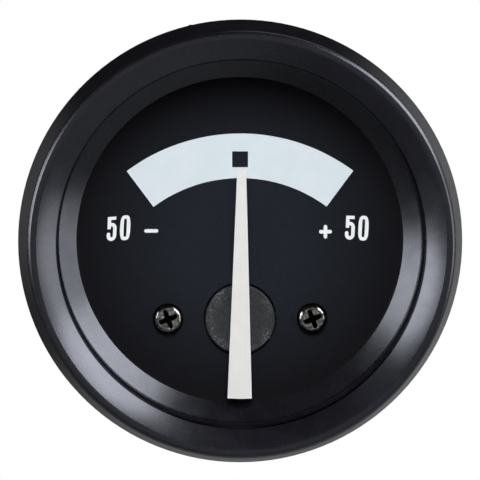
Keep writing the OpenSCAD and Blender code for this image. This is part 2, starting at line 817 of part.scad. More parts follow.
// Strip bent into a U: its feet press on the panel and its bridge sits on the studs
module clamp_bracket() {
    leg_in_y = case_r + bracket_gap;
    leg_out_y = leg_in_y + strip_t;
    out_r = strip_bend_r + strip_t;
    bend = [leg_in_y - strip_bend_r, bridge_front_z + strip_bend_r];
    mirrored = [-bend[0], bend[1]];
    half_w = strip_w / 2;
    color("#a9adb2") difference() {
        translate([-half_w, 0, 0]) rotate([90, 0, 90]) linear_extrude(strip_w) polygon(concat(
            [[leg_in_y, feet_z], [leg_out_y, feet_z]],
            arc(bend, out_r, 0, -90),
            arc(mirrored, out_r, -90, -180),
            [[-leg_out_y, feet_z], [-leg_in_y, feet_z]],
            arc(mirrored, strip_bend_r, -180, -90),
            arc(bend, strip_bend_r, -90, 0)
        ));
        each_stud() disc(bridge_back_z - cut, bridge_front_z + cut, stud_d / 2 + stud_hole_fit);
        // Corners of the feet, cut off across both legs at once
        for (side = [-1, 1])
            translate([0, leg_out_y + cut, 0]) rotate([90, 0, 0])
                linear_extrude(2 * (leg_out_y + cut)) polygon([
                    [side * (half_w - foot_chamfer), feet_z + cut],
                    [side * (half_w - foot_chamfer), feet_z],
                    [side * half_w, feet_z - foot_chamfer],
                    [side * (half_w + cut), feet_z - foot_chamfer],
                    [side * (half_w + cut), feet_z + cut]
                ]);
    }
}

module clamp_washers() {
    color("#9a9da1") each_stud()
        split_washer(thumb_front_z, bridge_back_z, clamp_washer_d / 2, stud_d / 2 + bolt_fit);
}

// Nut with a plain collar in front and a knurled grip behind it
module thumb_nut() {
    collar_back_z = thumb_front_z - thumb_collar_h;
    half_step = 180 / knurl_count;
    color("#c9a64c") difference() {
        union() {
            disc(collar_back_z, thumb_front_z, thumb_collar_d / 2);
            translate([0, 0, thumb_back_z]) linear_extrude(thumb_h) polygon([
                for (i = [0 : 2 * knurl_count - 1])
                    (thumb_d / 2 - (i % 2) * knurl_depth) * [cos(i * half_step), sin(i * half_step)]
            ]);
        }
        disc(thumb_back_z - cut, thumb_front_z + cut, stud_d / 2 + thread_clear);
    }
}

module upper_thumb_nut() {
    translate([0, stud_y, 0]) thumb_nut();
}

module lower_thumb_nut() {
    translate([0, -stud_y, 0]) thumb_nut();
}

upright() bezel();
upright() lens();
upright() lens_gasket();
upright() shading_ring();
upright() case_can();
upright() clamp_studs();
upright() dial_plate();
upright() scale_band();
upright() dial_screws();
upright() movement_frame();
upright() front_bearing();
upright() rear_bearing();
upright() frame_screws();
upright() conductor_bar();
upright() magnet();
upright() magnet_clip();
upright() terminal_posts();
upright() inner_insulator();
upright() terminal_insulators();
upright() terminal_washers();
upright() terminal_lock_nuts();
upright() spring_washers();
upright() terminal_nuts();
upright() pointer();
upright() pointer_hub();
upright() arbor();
upright() armature();
upright() clamp_bracket();
upright() clamp_washers();
upright() upper_thumb_nut();
upright() lower_thumb_nut();
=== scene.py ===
"""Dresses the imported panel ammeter: finishes for its solids, printed figures, cross-recessed screws
and real threads, with the studio and the camera that match the photograph."""
import json
import math

import bmesh
import bpy
from mathutils import Matrix, Vector


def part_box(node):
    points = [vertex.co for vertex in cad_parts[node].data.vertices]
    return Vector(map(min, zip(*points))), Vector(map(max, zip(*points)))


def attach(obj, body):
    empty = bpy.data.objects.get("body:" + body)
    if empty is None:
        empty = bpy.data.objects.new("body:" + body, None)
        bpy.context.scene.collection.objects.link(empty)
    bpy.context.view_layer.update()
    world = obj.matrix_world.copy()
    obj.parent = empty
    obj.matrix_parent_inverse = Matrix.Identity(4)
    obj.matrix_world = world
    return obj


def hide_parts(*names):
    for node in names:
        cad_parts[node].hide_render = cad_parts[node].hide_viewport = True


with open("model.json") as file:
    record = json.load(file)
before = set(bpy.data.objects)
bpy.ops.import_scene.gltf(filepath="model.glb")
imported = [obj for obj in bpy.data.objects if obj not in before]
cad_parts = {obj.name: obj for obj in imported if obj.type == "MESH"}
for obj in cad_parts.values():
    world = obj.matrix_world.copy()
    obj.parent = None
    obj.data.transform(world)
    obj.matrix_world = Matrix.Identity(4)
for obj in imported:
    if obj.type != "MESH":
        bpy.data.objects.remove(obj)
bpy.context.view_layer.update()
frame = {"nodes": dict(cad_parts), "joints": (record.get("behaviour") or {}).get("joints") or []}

MM = 0.001

# Where things are, taken from the frame
NODES = frame["nodes"]
PIVOT = Vector(next(j["pos_m"] for j in frame["joints"] if j["name"] == "pointer_swing"))
DIAL_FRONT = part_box("dial_plate")[0].y
BEZEL_LOW, BEZEL_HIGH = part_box("bezel")
BEZEL_R = BEZEL_HIGH.x
WINDOW_R = min(math.hypot(v.co.x, v.co.z) for v in NODES["bezel"].data.vertices)
DIAL_AXIS = Vector()

# Camera: the photograph's frame, and where the bezel's outline lies in it
FRAME_PX = 480
OUTLINE_CENTRE_PX = (240.65, 242.3)
OUTLINE_R_PX = 222.4
OUTLINE_Y = -1.0 * MM
CAMERA_DISTANCE = 0.45
VIEW_LEFT = math.radians(1.6)
VIEW_UP = math.radians(4.7)
SENSOR_MM = 36.0
CLIP_START = 0.01

# Print on the dial, in millimetres; places are from the pointer's pivot
INK_T = 0.05
INK_SINK = 0.01
LEFT_TILT = 4.5
RIGHT_TILT = -2.2
DIGIT_LEAN = 2.6
DIGIT_STEP = 1.82
LEFT_NUMBER = (-16.49, 12.41)
RIGHT_NUMBER = (15.85, 12.39)
MINUS_AT = (-12.04, 12.05)
PLUS_AT = (11.60, 11.88)
MINUS_SIZE = (1.92, 0.47)
PLUS_SIZE = (1.74, 1.86)
PLUS_STROKE = 0.49
ROUND_STEPS = 10

# Cross-recessed pan heads on the dial, in millimetres
SCREWS_LOW, SCREWS_HIGH = (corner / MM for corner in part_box("dial_screws"))
HEAD_R = (SCREWS_HIGH.z - SCREWS_LOW.z) / 2
SCREW_AT = (SCREWS_HIGH - Vector((HEAD_R, 0.0, HEAD_R))) * MM
HEAD_H = DIAL_FRONT / MM - SCREWS_LOW.y
HEAD_SQUARENESS = 4.0
HEAD_ROUNDNESS = 2.2
HEAD_RINGS = 44
FIRST_RING = 0.02
SCREW_STEPS = 128
SHANK_R = 1.0
RECESS_REACH = 1.25
RECESS_HALF_W = 0.27
RECESS_FLARE = 1.25
RECESS_TAPER = 0.35
RECESS_DEPTH = 0.75
RECESS_RISE = 0.55
RECESS_WALL = 0.10
RECESS_TURN = 22.0

# Threads, in millimetres, and where the flat of the crest ends and that of the root lies in a pitch
STUD_PITCH = 0.7
POST_PITCH = 0.8
THREAD_DEPTH_RATIO = 0.61
THREAD_CREST = 0.12
THREAD_ROOT = (0.5, 0.62)
THREAD_STEPS = 28
STUD_STEPS = 56
POST_STEPS = 64
TIP_STEPS = 56

# Clean-up of new meshes, and the angles up to which they are shaded smooth
MERGE_MM = 0.0005
SLIVER_MM = 0.0002
SCREW_SMOOTH = 60.0
THREAD_SMOOTH = 40.0

# Finishes: the range in which most of a noise lies, and how far some finishes reach
NOISE_MIDDLE = (0.3, 0.7)
ACROSS_AXIS = (1.0, 0.0, 1.0)
ALONG_AXIS = (0.0, 1.0, 0.0)
BLACK_PAINT = ("#0e0e13", "#131319")
PAINT_TINT = (0.84, 0.87, 1.0, 1.0)
# Width of the painted shade line at the bezel's window edge
SHADE_EDGE_W = 0.22 * MM
DIAL_R = 22.2 * MM
# Where, as shares of the dial's radius, the painted shade darkens it towards the edge
DIAL_SHADE_RANGE = (0.35, 0.95)
BOSS_R = 4.7 * MM
# Share of the boss's radius over which its painted highlights of the rim appear
BOSS_RIM_HIGHLIGHT = (0.65, 0.95)
# Painted shade on the screw heads: the share of the radius where the outer ring darkens, and how deep
# and how far out the recess is painted near black
HEAD_RIM_SHADE = (0.72, 0.92)
RECESS_SHADE_DEPTH_MM = (0.1, 0.3)
RECESS_SHADE_REACH_MM = (RECESS_REACH, RECESS_REACH + RECESS_WALL)
GLASS_ALPHA = (0.012, 0.3)
GLASS_SLANT = (0.6, 1.0)


def linear(code):
    """The linear colour of a hexadecimal screen colour."""
    parts = [int(code[i:i + 2], 16) / 255 for i in (1, 3, 5)]
    return (*(c / 12.92 if c <= 0.04045 else ((c + 0.055) / 1.055) ** 2.4 for c in parts), 1.0)


def times(shares, size):
    """A pair of shares of a size."""
    return [share * size for share in shares]


class Nodes:
    """Short ways to add the nodes of a tree and join them."""

    def __init__(self, tree):
        self.tree = tree

    def add(self, kind, operation=None):
        """A new shader node, with its operation where it has one."""
        node = self.tree.nodes.new("ShaderNode" + kind)
        if operation:
            node.operation = operation
        return node

    def link(self, source, target):
        """Joins a socket to another, or gives that one a plain value."""
        if isinstance(source, bpy.types.NodeSocket):
            self.tree.links.new(source, target)
        else:
            target.default_value = source

    def combined(self, operation, a, b):
        node = self.add("Math", operation)
        self.link(a, node.inputs[0])
        self.link(b, node.inputs[1])
        return node.outputs["Value"]

    def total(self, a, b):
        return self.combined("ADD", a, b)

    def product(self, a, b):
        return self.combined("MULTIPLY", a, b)

    def larger(self, a, b):
        return self.combined("MAXIMUM", a, b)

    def vectors(self, operation, *vectors):
        """A node that works on one or two vectors."""
        node = self.add("VectorMath", operation)
        for vector, target in zip(vectors, node.inputs):
            self.link(vector, target)
        return node

    def vector(self, operation, *vectors):
        """The vector that an operation on one or two vectors gives."""
        return self.vectors(operation, *vectors).outputs["Vector"]

    def measure(self, operation, *vectors):
        """The number that an operation on one or two vectors gives."""
        return self.vectors(operation, *vectors).outputs["Value"]

    def spread(self, value, low, high, at=NOISE_MIDDLE, easing="LINEAR"):
        """A range of a value, spread over low to high."""
        node = self.add("MapRange")
        node.interpolation_type = easing
        node.inputs["From Min"].default_value, node.inputs["From Max"].default_value = at
        node.inputs["To Min"].default_value = low
        node.inputs["To Max"].default_value = high
        self.link(value, node.inputs["Value"])
        return node.outputs["Result"]


class Finish(Nodes):
    """A Principled material whose colour, roughness and relief come from noise in object space."""

    def __init__(self, name, **sockets):
        self.material = bpy.data.materials.new(name)
        self.material.use_nodes = True
        super().__init__(self.material.node_tree)
        self.shader = self.tree.nodes["Principled BSDF"]
        for socket, value in sockets.items():
            self.shader.inputs[socket.replace("_", " ")].default_value = value
        self.place = self.add("TexCoord").outputs["Object"]

    def stretched(self, scale):
        """Object coordinates, scaled along each axis."""
        node = self.add("Mapping")
        node.inputs["Scale"].default_value = scale
        self.link(self.place, node.inputs["Vector"])
        return node.outputs["Vector"]

    def noise(self, size_mm, detail=3.0, roughness=0.55, place=None):
        """Noise with lumps of about a size in millimetres."""
        node = self.add("TexNoise")
        node.inputs["Scale"].default_value = 1.0 / (size_mm * MM)
        node.inputs["Detail"].default_value = detail
        node.inputs["Roughness"].default_value = roughness
        self.link(place or self.place, node.inputs["Vector"])
        return node.outputs["Fac"]

    def ramp(self, value, *stops):
        """Colours along a value, from pairs of a position and a hexadecimal colour."""
        node = self.add("ValToRGB")
        ends = node.color_ramp.elements
        while len(ends) < len(stops):
            ends.new(0.5)
        for end, (position, code) in zip(ends, stops):
            end.position = position
            end.color = linear(code)
        self.link(value, node.inputs["Fac"])
        return node.outputs["Color"]

    def mottled(self, value, tones, at=NOISE_MIDDLE):
        """Two tones along a range of a value."""
        return self.ramp(value, *zip(at, tones))

    def along(self, axis):
        """How far a place lies along an axis."""
        return self.measure("DOT_PRODUCT", self.place, axis)

    def radius(self, axis, mirrored=False):
        """Distance from an axis along Y, or from it and its mirror image on the other side."""
        flat = self.vector("MULTIPLY", self.place, ACROSS_AXIS)
        spot = Vector((axis.x, 0.0, axis.z))
        if mirrored:
            flat, spot = self.vector("ABSOLUTE", flat), Vector(map(abs, spot))
        return self.measure("DISTANCE", flat, spot)

    def rings(self, radius, step_mm, wander_mm, bend_mm=1.6):
        """A wave along a radius, which a coarse noise bends off the circle."""
        half, wander = step_mm * MM / 2, wander_mm * MM
        bend = self.spread(self.noise(bend_mm, detail=2.0), -wander, wander)
        wave = self.combined("PINGPONG", self.total(radius, bend), half)
        return self.spread(wave, 0.0, 1.0, at=(0.0, half))

    def blend(self, share, a, b):
        """Colour a, turning into colour b where share rises to 1."""
        node = self.add("Mix")
        node.data_type = "RGBA"
        colours = [s for s in node.inputs if s.type == "RGBA"]
        self.link(share, node.inputs["Factor"])
        self.link(a, colours[0])
        self.link(b, colours[1])
        return next(s for s in node.outputs if s.type == "RGBA")

    def colour(self, source):
        self.link(source, self.shader.inputs["Base Color"])

    def tones(self, size_mm, tones, place=None):
        """A dark and a light tone, clouded by noise of a size."""
        self.colour(self.mottled(self.noise(size_mm, place=place), tones))

    def gloss(self, size_mm, rough, place=None):
        """Roughness between two levels, clouded by noise of a size."""
        uneven = self.spread(self.noise(size_mm, place=place), *rough)
        self.link(uneven, self.shader.inputs["Roughness"])

    def turned_normal(self):
        """The normal of a piece turned about the dial's axis, without the step at its seam."""
        normal = self.add("NewGeometry").outputs["Normal"]
        radial = self.vector("NORMALIZE", self.vector("MULTIPLY", self.place, ACROSS_AXIS))
        outward = self.vectors("SCALE", radial)
        self.link(self.measure("DOT_PRODUCT", normal, radial), outward.inputs["Scale"])
        forward = self.vector("MULTIPLY", normal, ALONG_AXIS)
        return self.vector("ADD", outward.outputs["Vector"], forward)

    def relief(self, height, depth_mm, normal=None):
        """Bumps of a depth, on the surface's own normal or on another."""
        node = self.add("Bump")
        node.inputs["Distance"].default_value = depth_mm * MM
        self.link(height, node.inputs["Height"])
        if normal:
            self.link(normal, node.inputs["Normal"])
        self.link(node.outputs["Normal"], self.shader.inputs["Normal"])


def enamel(name, tones, rough, peel_mm, peel_depth, shine=0.5, turned=False, shade_edge_r=None):
    """Sprayed paint: a faint cloud of tone, uneven gloss and orange peel.

    A turned piece is shaded as a true solid of revolution. Along the window's edge the paint gives
    way to dark unpainted metal, a painted shade line for the shadowed gap there.
    """
    finish = Finish(name, Specular_IOR_Level=shine, Specular_Tint=PAINT_TINT)
    finish.tones(6.0, tones)
    finish.gloss(3.0, rough)
    normal = finish.turned_normal() if turned else None
    finish.relief(finish.noise(peel_mm, detail=2.0), peel_depth, normal)
    # Painted shade: the paint's inner edge at the window turns to dark metal, standing in for the
    # shadowed gap.
    if shade_edge_r:
        shade_falloff = (shade_edge_r + SHADE_EDGE_W / 3, shade_edge_r + SHADE_EDGE_W)
        shaded_edge = finish.spread(finish.radius(DIAL_AXIS), 1.0, 0.0, at=shade_falloff)
        finish.link(shaded_edge, finish.shader.inputs["Metallic"])
    return finish.material


def metal(name, tones, rough, lay=(1.0, 1.0, 1.0), mark_mm=0.5, mark_depth=0.004):
    """Bare metal with tool marks; lay scales the marks along each axis."""
    finish = Finish(name, Metallic=1.0)
    place = finish.stretched(lay)
    finish.tones(2.5, tones, place)
    finish.gloss(0.8, rough, place)
    finish.relief(finish.noise(mark_mm, detail=4.0, place=place), mark_depth)
    return finish.material


def plastic(name, tones, rough, grain_mm, grain_depth):
    """Moulded or pressed stuff with a fine grain."""
    finish = Finish(name)
    finish.tones(grain_mm * 3, tones)
    finish.gloss(grain_mm * 2, rough)
    finish.relief(finish.noise(grain_mm, detail=4.0), grain_depth)
    return finish.material


def glass():
    """Clear glass: hardly there seen square on, glossier aslant, with a breath of dust on it."""
    finish = Finish("glass", IOR=1.5, Transmission_Weight=1.0)
    facing = finish.add("LayerWeight").outputs["Facing"]
    finish.link(finish.spread(facing, *GLASS_ALPHA, at=GLASS_SLANT), finish.shader.inputs["Alpha"])
    finish.tones(9.0, ("#eef4f4", "#f8fcfc"))
    finish.gloss(5.0, rough=(0.0, 0.04))
    return finish.material


def dial_lacquer():
    """Matt blue-black lacquer with a fine speckle, painted lighter in the middle and darker towards
    the edge as shade from the ring and bezel.
    """
    finish = Finish("dial_black", Specular_IOR_Level=0.03)
    speckle = finish.noise(0.35, detail=5.0)
    # Painted shade: darker towards the dial's edge, where the ring and bezel shade it.
    middle = finish.mottled(speckle, ("#20242a", "#252930"))
    edge = finish.mottled(speckle, ("#141417", "#19191d"))
    shade_falloff = finish.spread(finish.radius(DIAL_AXIS), 0.0, 1.0, at=times(DIAL_SHADE_RANGE, DIAL_R))
    finish.colour(finish.blend(shade_falloff, middle, edge))
    finish.gloss(1.5, rough=(0.72, 0.84))
    finish.relief(finish.noise(0.12, detail=4.0), depth_mm=0.006)
    return finish.material


def ink(name, tones):
    """Screen-printed white, a little uneven."""
    finish = Finish(name, Specular_IOR_Level=0.3)
    finish.tones(2.5, tones)
    finish.gloss(1.0, rough=(0.5, 0.65))
    finish.relief(finish.noise(0.1), depth_mm=0.004)
    return finish.material


def pointer_lacquer():
    """White lacquer on the pointer's thin sheet."""
    finish = Finish("pointer_white", Specular_IOR_Level=0.4)
    finish.tones(3.0, ("#efeeed", "#f4f3f2"))
    finish.gloss(1.5, rough=(0.4, 0.52))
    finish.relief(finish.noise(0.25), depth_mm=0.003)
    return finish.material


def granular_resin():
    """Moulded resin with fine granules; pale specks and circling streaks towards the boss's rim are
    painted highlights of its rough edge.
    """
    finish = Finish("moulding", Specular_IOR_Level=0.4)
    grains = finish.noise(0.2, detail=5.0, roughness=0.7)
    radius = finish.radius(PIVOT)
    rim = finish.spread(radius, 0.0, 1.0, at=times(BOSS_RIM_HIGHLIGHT, BOSS_R))
    ragged = finish.spread(finish.noise(2.2, detail=2.0), 0.0, 1.0, at=(0.42, 0.6))
    # Painted highlights: pale specks and streaks in ragged patches near the rim.
    patches = finish.product(rim, ragged)
    specks = finish.spread(finish.noise(0.28, roughness=0.6), 0.0, 0.9, at=(0.52, 0.66))
    highlight_flecks = finish.product(patches, specks)
    waves = finish.rings(radius, step_mm=0.42, wander_mm=0.25)
    ridges = finish.spread(waves, 0.0, 0.55, at=(0.86, 0.99))
    highlight_arcs = finish.product(patches, ridges)
    base = finish.mottled(grains, ("#212224", "#3d3e41"), at=(0.35, 0.65))
    base = finish.blend(highlight_flecks, base, linear("#85878b"))
    finish.colour(finish.blend(highlight_arcs, base, linear("#9c9ea2")))
    finish.gloss(0.5, rough=(0.5, 0.75))
    finish.relief(finish.total(grains, highlight_flecks), depth_mm=0.05)
    return finish.material


def screw_metal():
    """Blackened steel with bright wear on the head; a painted shade darkens the head's outer ring,
    and a near-black painted shade fills the recess.
    """
    finish = Finish("black_screw", Metallic=1.0)
    wear = finish.noise(0.45, detail=4.0)
    wear_and_shade = finish.ramp(wear, (0.3, "#5c5b58"), (0.5, "#a09f9b"), (0.7, "#e8e7e3"))
    radius = finish.radius(SCREW_AT, mirrored=True)
    rim = finish.spread(radius, 0.0, 1.0, at=times(HEAD_RIM_SHADE, HEAD_R * MM))
    # Painted shade: the outer ring of the head is darkened.
    wear_and_shade = finish.blend(rim, wear_and_shade, linear("#252524"))
    # Painted shade: near black down in the recess.
    depths = [(SCREWS_LOW.y + depth) * MM for depth in RECESS_SHADE_DEPTH_MM]
    recess_shade = finish.spread(finish.along(ALONG_AXIS), 0.0, 1.0, at=depths)
    middle = finish.spread(radius, 1.0, 0.0, at=times(RECESS_SHADE_REACH_MM, MM))
    finish.colour(finish.blend(finish.product(recess_shade, middle), wear_and_shade, linear("#050505")))
    finish.gloss(0.5, rough=(0.1, 0.2))
    finish.relief(finish.noise(0.5), depth_mm=0.012)
    return finish.material


FINISHES = {
    "bezel_paint": enamel(
        "bezel_paint", BLACK_PAINT, rough=(0.24, 0.3), peel_mm=0.35, peel_depth=0.0012,
        shine=1.0, turned=True, shade_edge_r=WINDOW_R,
    ),
    "ring_paint": enamel(
        "ring_paint", BLACK_PAINT, rough=(0.24, 0.3), peel_mm=0.4, peel_depth=0.0012,
        shine=0.9, turned=True,
    ),
    "case_paint": enamel(
        "case_paint", ("#1b1c1f", "#242628"), rough=(0.42, 0.56), peel_mm=0.5, peel_depth=0.006,
    ),
    "gasket_rubber": plastic(
        "gasket_rubber", ("#08080a", "#0f0f11"), rough=(0.7, 0.9), grain_mm=0.2, grain_depth=0.01,
    ),
    "dial_black": dial_lacquer(),
    "print_white": ink("print_white", ("#dce7ee", "#e1ebf1")),
    "figure_white": ink("figure_white", ("#f2f6f7", "#f8fafa")),
    "black_screw": screw_metal(),
    "moulding": granular_resin(),
    "glass": glass(),
    "brass": metal(
        "brass", ("#b58d3c", "#cfa854"), rough=(0.24, 0.38), lay=(0.25, 3.0, 0.25),
    ),
    "zinc_steel": metal(
        "zinc_steel", ("#b4b7ba", "#cdd0d3"), rough=(0.28, 0.42), lay=(0.3, 1.0, 0.3),
    ),
    "spring_steel": metal(
        "spring_steel", ("#85888c", "#a2a5a9"), rough=(0.25, 0.38), lay=(0.4, 2.0, 0.4),
    ),
    "soft_iron": metal("soft_iron", ("#686b70", "#7e8186"), rough=(0.4, 0.55)),
    "magnet_iron": metal(
        "magnet_iron", ("#36373a", "#4a4b4e"), rough=(0.5, 0.65), mark_mm=0.25, mark_depth=0.02,
    ),
    "fibre": plastic(
        "fibre", ("#5a2618", "#7a3624"), rough=(0.7, 0.85), grain_mm=0.3, grain_depth=0.02,
    ),
    "insulator": plastic(
        "insulator", ("#161615", "#232321"), rough=(0.45, 0.6), grain_mm=0.25, grain_depth=0.01,
    ),
    "pointer_white": pointer_lacquer(),
}


def mesh_object(name, build):
    """A mesh object at the origin, filled in by a function that draws on a bmesh in millimetres."""
    bm = bmesh.new()
    build(bm)
    bmesh.ops.remove_doubles(bm, verts=bm.verts, dist=MERGE_MM)
    bmesh.ops.dissolve_degenerate(bm, edges=bm.edges, dist=SLIVER_MM)
    bmesh.ops.recalc_face_normals(bm, faces=bm.faces)
    bmesh.ops.transform(bm, matrix=Matrix.Scale(MM, 4), verts=bm.verts)
    mesh = bpy.data.meshes.new(name)
    bm.to_mesh(mesh)
    bm.free()
    thing = bpy.data.objects.new(name, mesh)
    bpy.context.scene.collection.objects.link(thing)
    return thing


def dress(thing, slot, body, *nodes, finish=None):
    """Gives a new piece its finish and body, and hides the nodes that it stands for."""
    thing.data.materials.append(FINISHES[finish or slot])
    if nodes:
        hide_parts(*nodes)
    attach(thing, body)


def smooth(thing, angle_deg):
    """Smooth shading, with edges sharper than the angle kept crisp."""
    limit = math.radians(angle_deg)
    bm = bmesh.new()
    bm.from_mesh(thing.data)
    for face in bm.faces:
        face.smooth = True
    for edge in bm.edges:
        edge.smooth = len(edge.link_faces) == 2 and edge.calc_face_angle(0.0) < limit
    bm.to_mesh(thing.data)
    bm.free()


# Figures and signs, drawn flat as lists of polygons (right, up) in millimetres
def arc(centre, radii, start_deg, end_deg, steps=ROUND_STEPS):
    """Points along part of an ellipse."""
    points = []
    for i in range(steps + 1):
        a = math.radians(start_deg + (end_deg - start_deg) * i / steps)
        points.append((centre[0] + radii[0] * math.cos(a), centre[1] + radii[1] * math.sin(a)))
    return points


def bar(length, width):
    """A stroke with round ends about the origin."""
    r = width / 2
    reach = length / 2 - r
    return arc((reach, 0), (r, r), -90, 90) + arc((-reach, 0), (r, r), 90, 270)


def plus_sign():
    """Both strokes of a plus as one outline."""
    r = PLUS_STROKE / 2
    outline = []
    for turn in range(4):
        reach = PLUS_SIZE[turn % 2] / 2 - r
        arm = arc((reach, 0), (r, r), -90, 90) + [(r, r)]
        outline += moved([arm], (0, 0), 90 * turn)[0]
    return [outline]


def ribbon(path, width):
    """Quads of a stroke along a path, square at its start and round at its end."""
    r = width / 2
    sides = []
    for i, point in enumerate(path):
        before = Vector(path[max(i - 1, 0)])
        after = Vector(path[min(i + 1, len(path) - 1)])
        along = (after - before).normalized()
        across = Vector((-along.y, along.x)) * r
        sides.append((Vector(point) + across, Vector(point) - across))
    quads = [[a[0], a[1], b[1], b[0]] for a, b in zip(sides, sides[1:])]
    end = Vector(path[-1])
    along = (end - Vector(path[-2])).normalized()
    lean = math.degrees(math.atan2(along.y, along.x))
    quads.append(arc(end, (r, r), lean - 90, lean + 90))
    return quads


def five():
    """A condensed five: bar, stem and an open bowl."""
    top, bar_t, bar_end = 1.63, 0.44, 0.56
    stem, stem_foot = (-0.59, -0.12), -0.02
    stroke = 0.48
    right, left = 0.42, -0.42
    bowl_top, bowl_turn, bowl_r = 0.57, 0.02, 0.45
    low_turn, bottom, hook = -0.92, -1.385, -0.72
    middle, half = (right + left) / 2, (right - left) / 2
    path = [(stem[1], bowl_top)]
    path += arc((right - bowl_r, bowl_turn), (bowl_r, bowl_top - bowl_turn), 90, 0)
    path += arc((middle, low_turn), (half, low_turn - bottom), 0, -180, 2 * ROUND_STEPS)
    path += [(left, hook)]
    return [
        [(stem[0], stem_foot), (stem[1], stem_foot), (stem[1], top), (stem[0], top)],
        [(stem[1], top - bar_t), (bar_end, top - bar_t), (bar_end, top), (stem[1], top)],
    ] + ribbon(path, stroke)


def zero():
    """A condensed nought between two rounded outlines."""
    outer, inner = (0.70, 1.69), (0.195, 1.22)
    outer_squareness, inner_squareness = 3.0, 6.0
    steps = 48

    def rounded(size, squareness, i):
        a = 2 * math.pi * i / steps
        u, v = math.cos(a), math.sin(a)
        return tuple(
            s * math.copysign(abs(w) ** (2 / squareness), w) for s, w in zip(size, (u, v))
        )

    within = [rounded(inner, inner_squareness, i) for i in range(steps + 1)]
    without = [rounded(outer, outer_squareness, i) for i in range(steps + 1)]
    return [[within[i], without[i], without[i + 1], within[i + 1]] for i in range(steps)]


def moved(polygons, at, tilt_deg=0.0):
    """Polygons turned about the origin and then shifted."""
    a = math.radians(tilt_deg)
    c, s = math.cos(a), math.sin(a)
    return [[(at[0] + c * u - s * v, at[1] + s * u + c * v) for u, v in p] for p in polygons]


def printed(name, polygons):
    """Ink on the dial: the polygons, given from the pivot, as a thin layer on the plate."""
    front = DIAL_FRONT / MM - INK_T
    back = DIAL_FRONT / MM + INK_SINK
    right, up = PIVOT.x / MM, PIVOT.z / MM

    def build(bm):
        for polygon in polygons:
            bm.faces.new([bm.verts.new((right + u, front, up + v)) for u, v in polygon])
        bmesh.ops.remove_doubles(bm, verts=bm.verts, dist=MERGE_MM)
        grown = bmesh.ops.extrude_face_region(bm, geom=bm.faces[:])["geom"]
        for part in grown:
            if isinstance(part, bmesh.types.BMVert):
                part.co.y = back

    thing = mesh_object(name, build)
    dress(thing, "print_white", "case", finish="figure_white")


def number(tilt_deg):
    """The number fifty, leaning a little and then tilted."""
    half = DIGIT_STEP / 2
    lean = math.tan(math.radians(DIGIT_LEAN + tilt_deg))
    digits = moved(five(), (-half, 0)) + moved(zero(), (half, 0))
    return moved([[(u + lean * v, v) for u, v in p] for p in digits], (0, 0), tilt_deg)


printed("left_number", moved(number(LEFT_TILT), LEFT_NUMBER))
printed("right_number", moved(number(RIGHT_TILT), RIGHT_NUMBER))
printed("minus_sign", moved([bar(*MINUS_SIZE)], MINUS_AT))
printed("plus_sign", moved(plus_sign(), PLUS_AT))


# Turned and threaded pieces
def turned(bm, axis, rows, steps):
    """A closed surface of rows round an axis along Y.

    A row is its y with a radius, or with a function that gives radius and rise at an angle.
    """
    rings = []
    for y, radius in rows:
        ring = []
        for j in range(steps):
            a = 2 * math.pi * j / steps
            r, rise = radius(a) if callable(radius) else (radius, 0.0)
            x, z = axis[0] + r * math.cos(a), axis[1] + r * math.sin(a)
            ring.append(bm.verts.new((x, y + rise, z)))
        rings.append(ring)
    for lower, upper in zip(rings, rings[1:]):
        for j in range(steps):
            k = (j + 1) % steps
            bm.faces.new((lower[j], lower[k], upper[k], upper[j]))
    bm.faces.new(rings[0])
    bm.faces.new(rings[-1])


def step(low, high, value):
    """A smooth rise from 0 at low to 1 at high."""
    t = min(max((value - low) / (high - low), 0.0), 1.0)
    return t * t * (3 - 2 * t)


def recess(r, angle):
    """Depth of the cross recess at a place on the head."""
    quarter = math.pi / 2
    off = (angle - math.radians(RECESS_TURN) + quarter / 2) % quarter - quarter / 2
    along, across = r * math.cos(off), r * abs(math.sin(off))
    half_w = RECESS_HALF_W * (RECESS_FLARE - RECESS_TAPER * along / RECESS_REACH)
    inside = 1 - step(half_w - RECESS_WALL / 2, half_w + RECESS_WALL / 2, across)
    inside *= 1 - step(RECESS_REACH - RECESS_WALL, RECESS_REACH + RECESS_WALL, along)
    return inside * (RECESS_DEPTH * (1 - RECESS_RISE * (along / RECESS_REACH) ** 2))


def screw_rows(seat, shank_end):
    """Rows from the middle of the head's face out, down its side and along the shank."""
    rows = []
    for i in range(HEAD_RINGS):
        share = (i + FIRST_RING) / (HEAD_RINGS - 1 + FIRST_RING)
        r = HEAD_R * math.sin(math.pi / 2 * share)
        fall = max(1 - (r / HEAD_R) ** HEAD_SQUARENESS, 0.0)
        height = HEAD_H * fall ** (1 / HEAD_ROUNDNESS)
        rows.append((seat - height, lambda a, r=r: (r, recess(r, a))))
    return rows + [(seat, SHANK_R), (shank_end, SHANK_R)]


def dial_screws():
    """Pan heads with their recess, on shanks that reach as far as those of the source."""
    middle_z = (SCREWS_LOW.z + SCREWS_HIGH.z) / 2

    def build(bm):
        for x in (SCREWS_LOW.x + HEAD_R, SCREWS_HIGH.x - HEAD_R):
            turned(bm, (x, middle_z), screw_rows(DIAL_FRONT / MM, SCREWS_HIGH.y), SCREW_STEPS)

    thing = mesh_object("cross_screws", build)
    smooth(thing, SCREW_SMOOTH)
    dress(thing, "black_screw", "case", "dial_screws")


